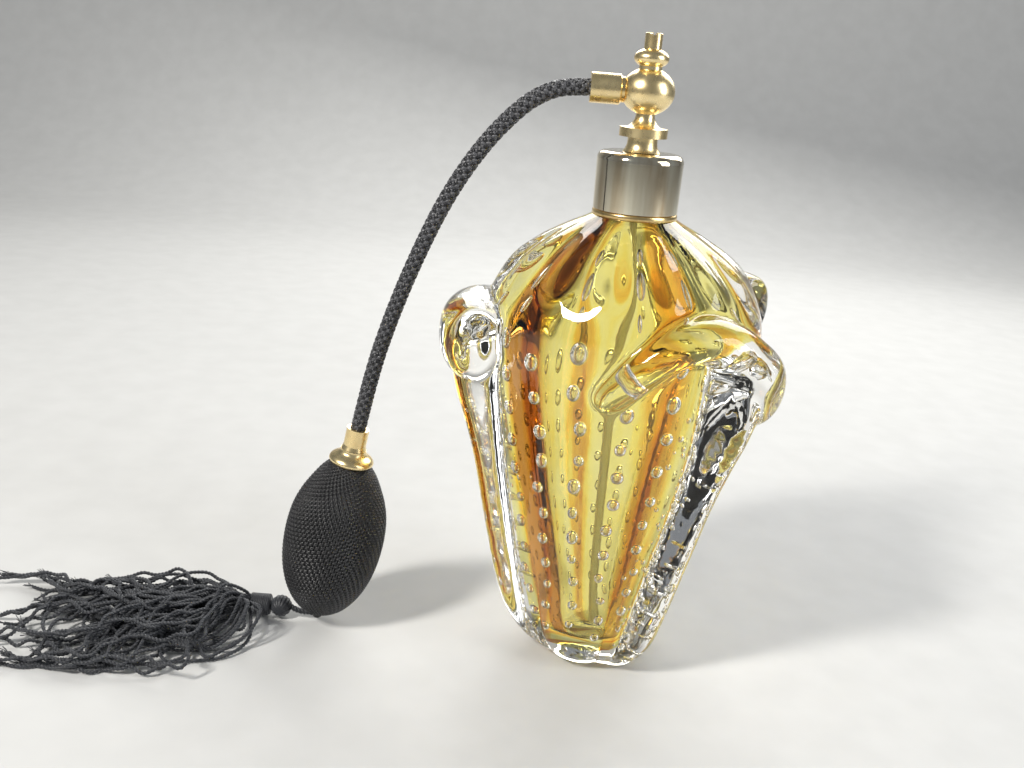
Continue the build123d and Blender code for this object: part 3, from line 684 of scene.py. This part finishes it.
def make_layer():
    """Coloured layer: its outside only tints, and its inside is the wall of the cavity."""
    cavity = np.array([
        (0.0, 10.0), (7.0, 10.0), (8.9, 12.5), (11.4, 26.0), (14.8, 45.0), (17.7, 62.0), (21.2, 85.0),
        (22.6, 100.0), (21.4, 109.0), (16.8, 117.5), (10.4, 125.5), (6.4, 133.0),
    ])
    outside = np.vstack([[(0, 7.0)], smooth_line(LAYER_OUTLINE, 70), [(7.1, 148.2), (6.5, 148.2)]])
    inside = np.vstack([[(6.4, 148.2)], smooth_line(cavity[1:], 70)[::-1], [(0, 10.0)]])
    verts, faces = turned(np.vstack([outside, inside]), 96)
    layer = piece("amber_layer", verts, faces, AMBER_TINT, "bottle")
    layer.data.materials.append(CAVITY_GLASS)
    outer_rings = len(outside) - 1
    for polygon in layer.data.polygons:
        ring = min(polygon.vertices) // 96
        far_cap = max(polygon.vertices) == len(verts) - 1
        if ring >= outer_rings - 1 or far_cap:
            polygon.material_index = 1
    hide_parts("coloured_layer")


make_casing()
make_layer()

# ---------------------------------------------------------------- neck ring
SLEEVE_R = 10.3
RING_OUTLINE = [
    (9.25, 135.2), (11.5, 135.2), (11.9, 135.7), (11.9, 136.7), (11.6, 137.2), (SLEEVE_R, 137.2),
    (SLEEVE_R, 149.0), (10.0, 149.2), (6.6, 149.2), (6.6, 148.3), (9.25, 148.3),
]
THREAD_SPAN = (138.2, 148.4)
THREAD_PITCH = 1.5
THREAD_DEPTH = 0.55


def make_neck_ring():
    """Cemented ring with the thread that the collar screws onto."""
    segments = 120
    outline = []
    for (r0, z0), (r1, z1) in zip(RING_OUTLINE, RING_OUTLINE[1:]):
        steps = 110 if abs(z1 - z0) > 10 and r0 > 10 else 1
        outline += [(r0 + (r1 - r0) * i / steps, z0 + (z1 - z0) * i / steps) for i in range(steps)]
    outline.append(RING_OUTLINE[-1])
    angle = np.linspace(0, 2 * np.pi, segments, endpoint=False)
    verts = []
    for radius, height in outline:
        rings = np.full(segments, radius)
        if abs(radius - SLEEVE_R) < 0.01 and THREAD_SPAN[0] < height < THREAD_SPAN[1]:
            phase = (height - THREAD_SPAN[0]) / THREAD_PITCH - angle / (2 * np.pi)
            fade = min(1.0, (height - THREAD_SPAN[0]) / 1.5, (THREAD_SPAN[1] - height) / 1.5)
            rings -= THREAD_DEPTH * fade * (0.5 - 0.5 * np.cos(2 * np.pi * phase))
        verts.append(np.stack([rings * np.cos(angle), rings * np.sin(angle),
                               np.full(segments, height)], axis=1))
    count = len(outline)
    faces = []
    for i in range(count):
        low, high = i * segments, (i + 1) % count * segments
        for j in range(segments):
            k = (j + 1) % segments
            faces.append((low + j, low + k, high + k, high + j))
    ring = piece("threaded_neck_ring", np.vstack(verts), faces, GILT_BRASS, "bottle")
    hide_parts("neck_ring")


make_neck_ring()

# ---------------------------------------------------------------- bulb
COVER_OUTLINE = np.array([
    (4.6, 10.4), (5.2, 11.3), (6.9, 12.7), (9.0, 15.4), (11.2, 19.4), (13.2, 23.8), (14.7, 29.5),
    (15.2, 37.0), (14.5, 45.4), (12.4, 52.7), (9.2, 58.3), (5.6, 61.6), (2.0, 63.2),
])
BULB_SIDE = np.array([0.0, 1.0, 0.0])
BULB_UP = np.cross(BULB_AXIS, BULB_SIDE)
KNIT_ROWS = 24               # rows of stitches that wind round the bulb side by side
KNIT_TURN = 32.0             # length along the bulb in which a row goes once round
STITCH = 1.35                # length of one stitch
COVER_MEAN_R = 11.5
KNIT_YARN_R = 0.36
KNIT_SINK = 0.42             # depth of the yarn's centre below the cover's outline
STITCH_SWING = 0.50          # how far a loop leans along the bulb, stands out and slips sideways
STITCH_LIFT = 0.24
STITCH_SLIP = 0.34


def on_bulb(verts):
    """Points made about +Z, with +Z laid along the bulb's axis."""
    x, y, z = np.asarray(verts, float).T
    return (BULB_TOP + x[:, None] * BULB_SIDE + y[:, None] * BULB_UP + z[:, None] * BULB_AXIS)


COVER_FINE = smooth_line(COVER_OUTLINE, 160)


def knit_row(start_angle):
    """One row of crochet loops, winding down the bulb."""
    reach = np.concatenate([[0], np.cumsum(np.linalg.norm(np.diff(COVER_FINE, axis=0), axis=1))])
    length = reach[-1]
    turns = length / KNIT_TURN
    row_length = math.hypot(length, turns * 2 * math.pi * COVER_MEAN_R)
    stitches = int(row_length / STITCH)
    t = np.linspace(0, 1, stitches * 7)
    phase = 2 * np.pi * stitches * t
    along = np.clip(t * length + STITCH_SWING * np.cos(phase), 0, length)
    radius = np.interp(along, reach, COVER_FINE[:, 0]) - KNIT_SINK + STITCH_LIFT * np.cos(2 * phase)
    distance = np.interp(along, reach, COVER_FINE[:, 1])
    slip = STITCH_SLIP / np.maximum(radius, 3) * np.sin(2 * phase)
    angle = start_angle + 2 * np.pi * turns * t + slip
    points = np.stack([radius * np.cos(angle), radius * np.sin(angle), distance], axis=1)
    return tube(on_bulb(points), KNIT_YARN_R, KNIT_YARN_R, 5)


def make_cover():
    under = COVER_FINE - np.array([0.75, 0.0])
    under = np.vstack([[(0, under[0][1])], under[:-4], [(0, under[-4][1])]])
    verts, faces = turned(under, 72)
    parts = [(on_bulb(verts), faces)]
    for row in range(KNIT_ROWS):
        parts.append(knit_row(2 * math.pi * row / KNIT_ROWS))
    cover = piece("crochet_bulb_cover", *joined(parts), KNIT_YARN, "spray_head")
    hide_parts("crochet_cover")
    bladder_outline = np.array([(0, 12.2), (3.6, 12.2), (5.2, 14.0), (9.4, 19.4), (12.9, 29.5),
                                (13.4, 37.0), (12.7, 45.4), (10.6, 52.7), (6.6, 58.0), (3.6, 60.0),
                                (0, 60.0)])
    verts, faces = turned(smooth_line(bladder_outline, 60), 48)
    bladder = piece("rubber_bulb", on_bulb(verts), faces, HOSE_RUBBER, "spray_head")
    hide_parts("rubber_bladder")
    for soft in (cover, bladder):
        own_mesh(soft)


def make_tail_knot():
    """Yarn drawn together and knotted at the bulb's tail."""
    centre = BULB_TOP + BULB_AXIS * 64.3
    parts = []
    for index in range(4):
        t = np.linspace(0, 2 * np.pi, 40)
        tilt = index * 0.8
        loop = np.stack([1.15 * np.cos(t), 1.15 * np.sin(t) * math.cos(tilt),
                         1.15 * np.sin(t) * math.sin(tilt)], axis=1)
        parts.append(tube(centre + loop, 0.55, 0.55, 8))
    knot = piece("tail_yarn_knot", *joined(parts), KNIT_YARN, "spray_head")
    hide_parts("tail_knot")


make_cover()
make_tail_knot()

# ---------------------------------------------------------------- tassel
TASSEL_KNOT = np.array([-97.5, 0.0, 3.9])
TASSEL_CORDS = 64
PLY_R = 0.35
FRAY_FIBRES = 6
TASSEL_END_X = -191.0        # the farthest that a cord reaches
TASSEL_MIDDLE_Y = -15.0      # the cords drift towards this line
TASSEL_HALF_WIDTH = 19.0     # past this distance from that line a cord turns back
TASSEL_STEP = 3.6            # length of one step of a cord's route
TASSEL_PILE = 8.0            # height of the pile at its thickest
LOOSE_LOOPS = 11
CORD_PULL = 0.17             # share of the way that a cord turns to its aim at each step
HEAD_LOOPS = 7               # loops of the knot at the tassel's head
HEAD_LOOP_R = 2.6
WINDING_R = 3.15             # radius of the thread wound round the cords


def twisted_cord(points, ply_radius, lay=2.3):
    """Two plies twisted about a line."""
    centre, at = even_points(np.asarray(points, float), 0.48)
    _, side, up = frames_along(centre, (0.1, 0.2, 1.0))
    parts = []
    for ply in (0, math.pi):
        turn = 2 * np.pi * at / lay + ply
        spot = (centre + side * (ply_radius * 0.85 * np.cos(turn))[:, None]
                + up * (ply_radius * 0.85 * np.sin(turn))[:, None])
        parts.append(tube(spot, ply_radius, ply_radius, 6, (0.1, 0.2, 1.0)))
    return parts


def frayed_end(points, rng):
    """Short fibres that spread from the cut end of a cord."""
    end = points[-1]
    along = points[-1] - points[-3]
    along /= np.linalg.norm(along)
    parts = []
    for _ in range(FRAY_FIBRES):
        spread = np.array([rng.uniform(-1, 1), rng.uniform(-1, 1), rng.uniform(-0.4, 0.8)])
        tip = end + along * rng.uniform(1.2, 2.8) + spread * 0.9
        middle = (end + tip) / 2 + spread * 0.15
        line = smooth_line([end - along * 0.6, end, middle, tip], 7)
        parts.append(tube(line, 0.12, 0.12, 4, (0.1, 0.2, 1.0)))
    return parts


def tassel_line(rng):
    """Route of one cord of the tassel: a wandering, curling line over the table."""
    lean = rng.gauss(0, 1)
    start = np.array([-106.0, 1.9 * rng.uniform(-1, 1), 3.9 + 1.9 * rng.uniform(-1, 1)])
    points = [start, start + np.array([-3.5, 0.8 * lean - 0.5, 0.4])]
    heading = math.pi + 0.18 + 0.62 * lean
    curl = rng.choice((-1, 1)) * rng.uniform(0.18, 0.42)
    layer = rng.uniform(0.0, 1.0)
    aim_y = TASSEL_MIDDLE_Y + rng.uniform(-14.0, 16.0)
    place = points[-1].copy()
    steps = rng.randint(14, 26)
    for step in range(steps):
        share = step / steps
        if rng.random() < 0.27:
            curl = -math.copysign(rng.uniform(0.16, 0.45), curl)
        towards = math.atan2(aim_y - place[1], -38.0)
        pull = (towards - heading + math.pi) % (2 * math.pi) - math.pi
        outside = max(0.0, abs(place[1] - TASSEL_MIDDLE_Y) - TASSEL_HALF_WIDTH) / 6.0
        turn_back = min(CORD_PULL + 0.5 * outside, 0.7) * pull
        heading += curl * max(0.0, 1 - outside) + turn_back + rng.gauss(0, 0.12)
        place[0] += TASSEL_STEP * math.cos(heading)
        place[1] += TASSEL_STEP * math.sin(heading)
        if place[0] < TASSEL_END_X:
            break
        pile = TASSEL_PILE * math.sin(math.pi * min(1.0, 0.25 + 0.8 * share)) ** 0.8
        height = 0.85 + layer * pile + rng.uniform(-0.9, 1.5)
        points.append(np.array([place[0], place[1], max(0.85, height)]))
    points[-1][2] = 0.85 + 0.4 * layer * TASSEL_PILE
    return smooth_line(points, 4 * len(points))


def loose_loops(rng):
    """Loops of cord that spring up beside the binding, and one long cord at the front."""
    loops = []
    for index in range(LOOSE_LOOPS):
        near = index / (LOOSE_LOOPS - 1)
        high = rng.uniform(7.5, 13.0)
        first_x = -101.0 - 17.0 * near + rng.uniform(-1.5, 1.5)
        first_y = -12.5 - 2.5 * rng.random() + 9.0 * near
        reach = rng.uniform(22.0, 60.0)
        loops.append(smooth_line([
            (-106.0, -1.0, 4.6), (-108.5, 0.4 * first_y, 0.75 * high), (first_x, first_y, high),
            (first_x - 2.0, first_y - 7.0, 0.55 * high), (first_x - 9.0, first_y - 11.5, 1.5),
            (first_x - 0.5 * reach, first_y - 12.0 + rng.uniform(-5, 4), 2.2),
            (first_x - 0.8 * reach, first_y - 10.0 + rng.uniform(-6, 8), 1.6),
            (first_x - reach, first_y - 12.0 + rng.uniform(-8, 9), 0.9),
        ], 90))
    loops.append(smooth_line([
        (-106.0, -1.5, 4.2), (-104.5, -10.0, 6.0), (-103.0, -19.0, 2.4), (-109.0, -27.0, 0.9),
        (-121.0, -31.0, 0.9), (-136.0, -35.0, 0.9), (-152.0, -38.5, 0.9), (-163.0, -38.0, 0.9),
    ], 90))
    return loops


def make_tassel():
    rng = random.Random(23)
    parts = []
    lines = [tassel_line(rng) for _ in range(TASSEL_CORDS)] + loose_loops(rng)
    for line in lines:
        parts += twisted_cord(line, PLY_R)
        parts += frayed_end(line, rng)
    verts, faces = joined(parts)
    verts[:, 2] = np.maximum(verts[:, 2], 0.15)
    skirt = piece("tassel_cords", verts, faces, TASSEL_YARN, "tassel")
    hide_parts("tassel_skirt")

    head = []
    for index in range(HEAD_LOOPS):
        t = np.linspace(0, 2 * np.pi, 48)
        tilt = math.pi * index / HEAD_LOOPS
        loop = np.stack([HEAD_LOOP_R * np.sin(t) * math.sin(tilt), HEAD_LOOP_R * np.cos(t),
                         HEAD_LOOP_R * np.sin(t) * math.cos(tilt)], axis=1)
        head.append(tube(TASSEL_KNOT + loop, 0.85, 0.85, 8))
    head.append(ball(TASSEL_KNOT, (2.9, 2.9, 2.9)))
    knot = piece("tassel_head_knot", *joined(head), TASSEL_YARN, "tassel")
    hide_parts("tassel_knot")

    t = np.linspace(0, 1, 420)
    turns = 11
    wound = np.stack([-101.2 - 6.0 * t, WINDING_R * np.cos(2 * np.pi * turns * t),
                      3.9 + WINDING_R * np.sin(2 * np.pi * turns * t)], axis=1)
    core = np.array([(-100.8, 0, 3.9), (-103.5, 0, 3.9), (-107.6, 0, 3.9)])
    binding_parts = [tube(wound, 0.33, 0.33, 6), tube(core, 2.95, 2.95, 24)]
    binding = piece("tassel_thread_binding", *joined(binding_parts), TASSEL_YARN, "tassel")
    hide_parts("tassel_binding")

    tail = BULB_TOP + BULB_AXIS * 64.4
    link_line = smooth_line([
        tail + np.array([-1.6, 0, 0]), (tail + TASSEL_KNOT) / 2 + np.array([0, 0, -0.5]),
        TASSEL_KNOT + np.array([3.0, 0, 0])], 30)
    link_parts = twisted_cord(link_line, 0.55)
    link_cord = piece("tassel_link_cord", *joined(link_parts), TASSEL_YARN, "tassel_link")
    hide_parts("tassel_link")


make_tassel()

# ---------------------------------------------------------------- studio
def make_studio():
    floor_colour, shader, add = new_material("studio_floor")
    grain = add("TexNoise", {"Vector": add("TexCoord").outputs["Object"], "Scale": 60.0}).outputs["Fac"]
    link(floor_colour, add_ramp(add, grain, [(0.3, (0.53, 0.53, 0.52)), (0.7, (0.56, 0.56, 0.55))]),
         shader.inputs["Base Color"])
    shader.inputs["Roughness"].default_value = 0.75
    half_width, near, bend, high = 2000.0, -1500.0, 350.0, 1600.0
    outline = [(near, 0.0), (700.0, 0.0)]
    for step in range(1, 13):
        turn = math.pi / 2 * step / 12
        outline.append((700.0 + bend * math.sin(turn), bend * (1 - math.cos(turn))))
    outline.append((700.0 + bend, high))
    verts = [(side * half_width, y, z) for y, z in outline for side in (-1, 1)]
    faces = [(2 * i, 2 * i + 1, 2 * i + 3, 2 * i + 2) for i in range(len(outline) - 1)]
    floor = piece("floor", verts, faces, floor_colour)

    def soft_light(name, at, aim, size, power, tint):
        data = bpy.data.lights.new(name, "AREA")
        data.shape = "RECTANGLE"
        data.size, data.size_y = size
        data.energy = power
        data.color = tint
        lamp = bpy.data.objects.new(name, data)
        bpy.context.scene.collection.objects.link(lamp)
        lamp.matrix_world = Matrix.Translation(at) @ (
            (Matrix.Translation(aim).translation - Matrix.Translation(at).translation)
            .to_track_quat("-Z", "Y").to_matrix().to_4x4())

    soft_light("key_light", (-0.58, -0.50, 0.70), (0, 0, 0.09), (0.13, 0.22), 10.0, (1.0, 0.97, 0.92))
    soft_light("fill_light", (0.75, -0.35, 0.45), (0, 0, 0.08), (0.4, 0.7), 5.0, (0.95, 0.97, 1.0))
    soft_light("back_light", (0.15, 0.65, 0.55), (0, 0, 0.06), (0.9, 0.5), 7.0, (1.0, 0.99, 0.96))
    world = bpy.data.worlds.new("studio")
    bpy.context.scene.world = world
    world.use_nodes = True
    sky = world.node_tree.nodes["Background"]
    sky.inputs["Color"].default_value = (0.80, 0.85, 0.92, 1.0)
    sky.inputs["Strength"].default_value = 0.25


make_studio()
bpy.context.scene.cycles.max_bounces = 18
bpy.context.scene.cycles.transmission_bounces = 18
bpy.context.scene.view_settings.view_transform = "Standard"
